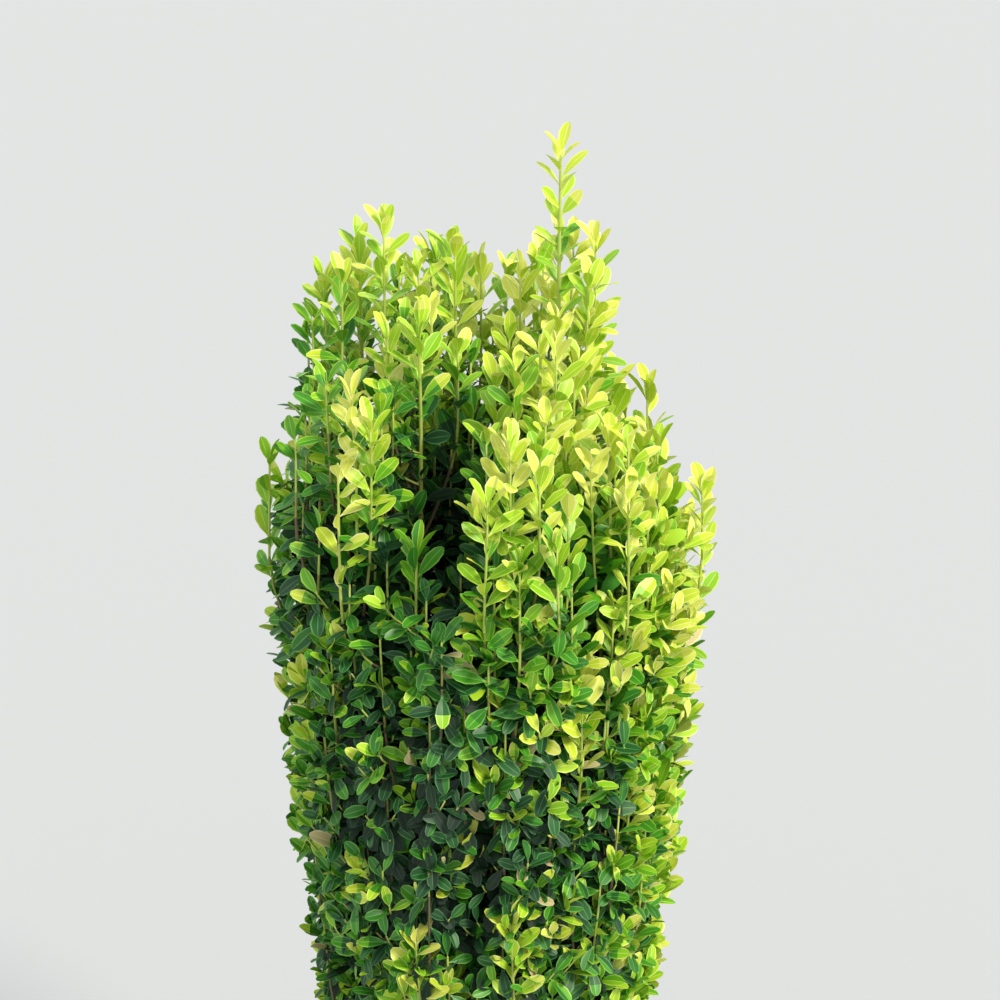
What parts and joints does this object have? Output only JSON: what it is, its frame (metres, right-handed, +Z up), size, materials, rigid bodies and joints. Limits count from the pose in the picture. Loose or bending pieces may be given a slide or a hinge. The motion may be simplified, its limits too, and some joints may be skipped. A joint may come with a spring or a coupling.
{
  "type": "potted columnar holly",
  "caption": "Narrow upright evergreen shrub with small oval leaves on straight shoots, growing in a tapered clay pot; a patio plant.",
  "frame": {"origin": "centre of the pot's flat underside", "axes": "+Z up along the trunk; -Y towards the side the picture shows; +X to its right"},
  "size_m": [0.302, 0.302, 1.0721],
  "materials": {
    "clay": "unglazed fired clay, matt",
    "compost": "dark crumbly bark compost",
    "bark": "fine-grained grey-brown bark",
    "leaf_lime": "smooth, slightly glossy, young lime-green leaf",
    "leaf_green": "smooth, glossy, older green leaf"
  },
  "bodies": {
    "root": {"pot": "clay", "soil": "compost", "trunk": "bark", "bough_right": "bark", "foliage_right": "leaf_lime", "bough_right_back": "bark", "foliage_right_back": "leaf_lime", "bough_back_right": "bark", "foliage_back_right": "leaf_lime", "bough_back_left": "bark", "foliage_back_left": "leaf_lime", "bough_left_back": "bark", "foliage_left_back": "leaf_green", "bough_left": "bark", "foliage_left": "leaf_green", "bough_left_front": "bark", "foliage_left_front": "leaf_green", "bough_front_left": "bark", "foliage_front_left": "leaf_lime", "bough_front_right": "bark", "foliage_front_right": "leaf_lime", "bough_right_front": "bark", "foliage_right_front": "leaf_lime", "bough_tallest": "bark", "foliage_tallest": "leaf_lime", "bough_inner_back": "bark", "foliage_inner_back": "leaf_lime", "bough_inner_left": "bark", "foliage_inner_left": "leaf_lime", "bough_inner_front": "bark", "foliage_inner_front": "leaf_lime"}
  },
  "joints": []
}
